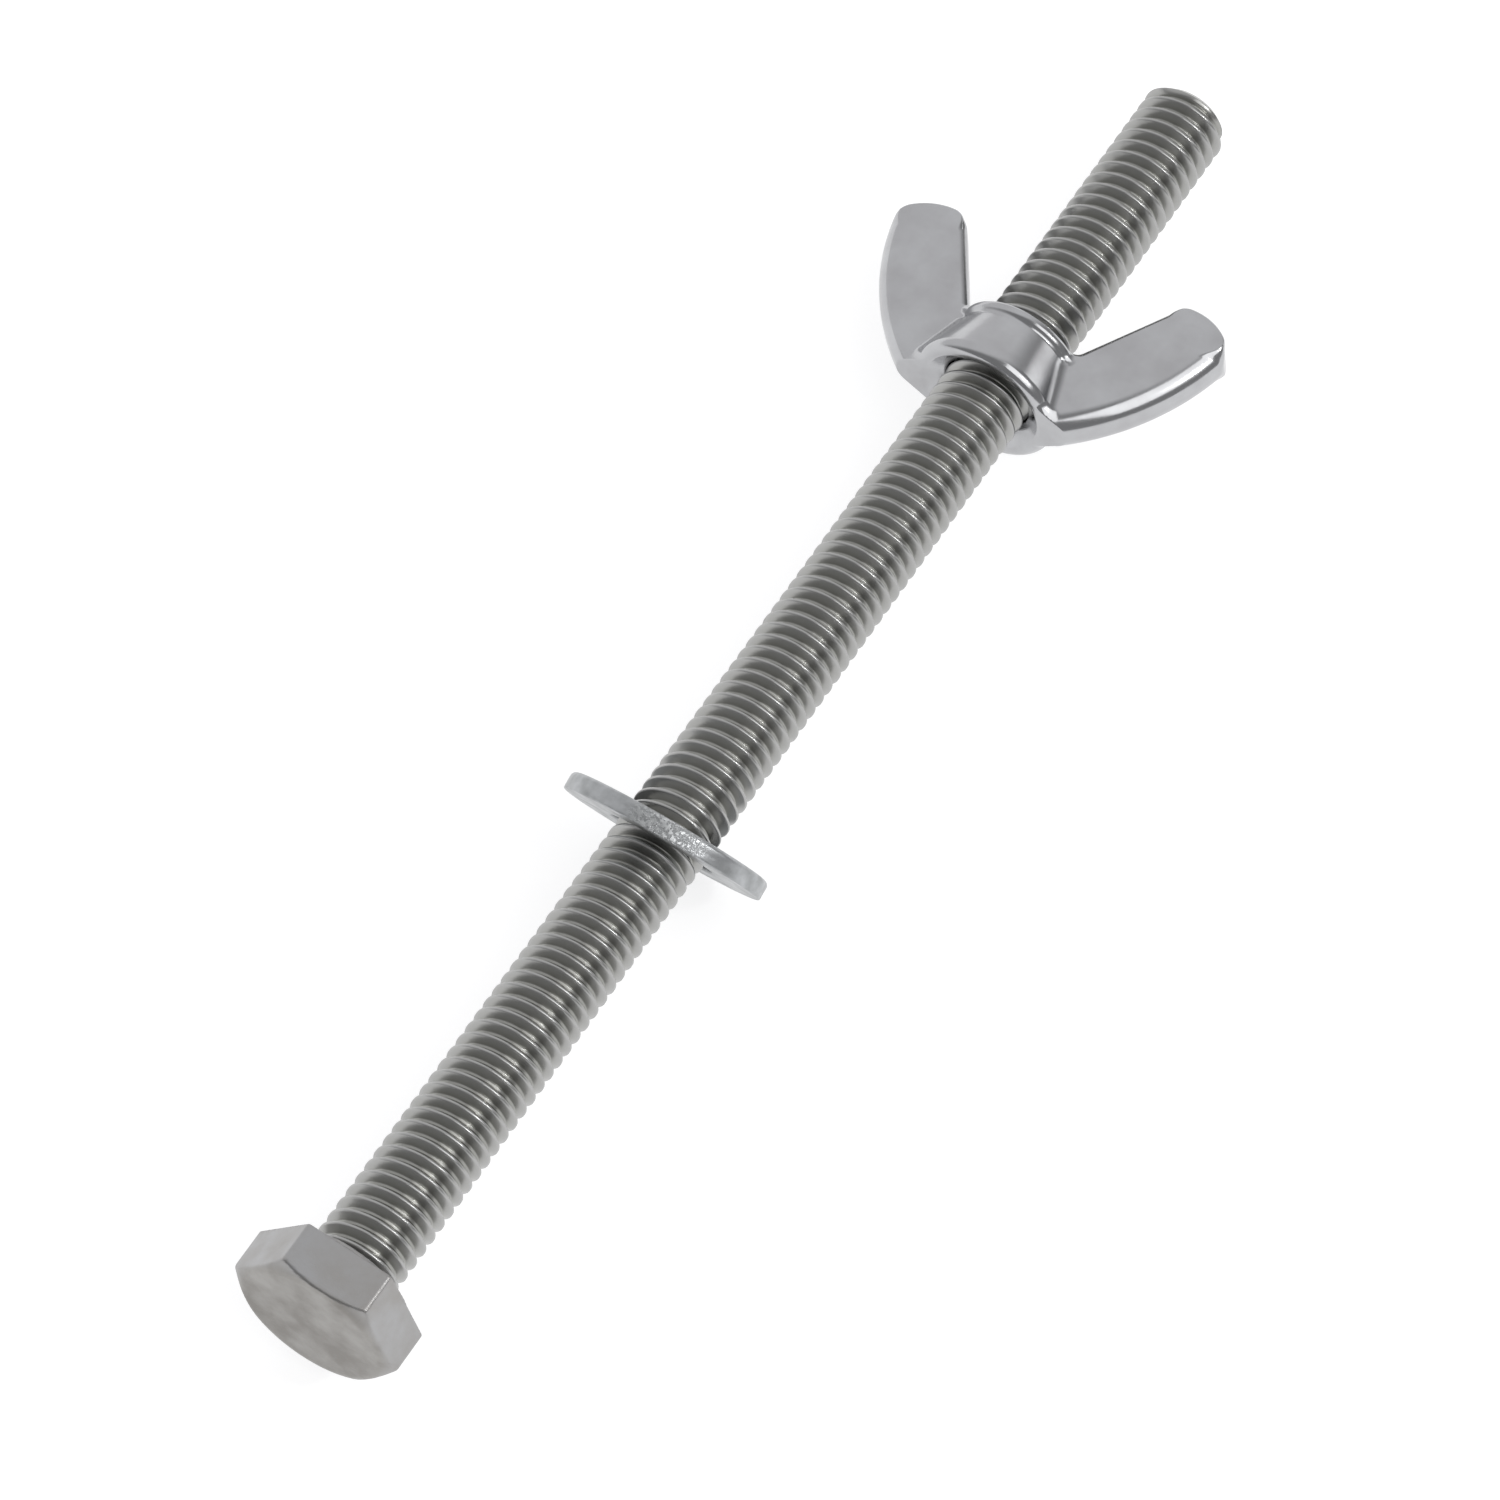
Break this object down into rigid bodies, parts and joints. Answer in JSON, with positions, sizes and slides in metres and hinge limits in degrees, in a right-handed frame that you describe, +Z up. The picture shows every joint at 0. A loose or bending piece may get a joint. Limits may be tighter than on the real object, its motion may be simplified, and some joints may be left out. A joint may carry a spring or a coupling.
{
  "type": "wing nut on a screw with a washer",
  "caption": "Fully threaded hex-head screw with a loose flat washer and a wing nut that runs along its thread, to be tightened by hand.",
  "frame": {"origin": "centre of the screw head's bearing face, on the screw's axis", "axes": "+Y along the screw from head to tip, +Z up as the part lies on the washer's rim and the nut, towards the side to which the washer leans, +X to the side; the screw's axis is level"},
  "size_m": [0.024, 0.1029, 0.0129],
  "materials": {
    "screw_steel": "cold headed and rolled, satin with a brighter thread",
    "washer_steel": "blanked sheet, tumbled, with a scuffed rim",
    "nut_steel": "cast and polished"
  },
  "bodies": {
    "screw": {"hex_bolt": "screw_steel"},
    "washer": {"flat_washer": "washer_steel"},
    "nut": {"wing_nut": "nut_steel"}
  },
  "joints": [
    {"name": "washer_travel", "type": "slide", "parent": "screw", "child": "washer", "axis": [0, 1, 0], "range_m": [-0.032, 0.02]},
    {"name": "nut_turn", "type": "hinge", "parent": "washer", "child": "nut", "pos_m": [0, 0.0729, 0], "axis": [0, 1, 0], "range_deg": [-11525, 7205]}
  ],
  "couplings": [
    {"joint": "nut_turn", "follows": "washer_travel", "rad_per_m": 6283.2}
  ]
}
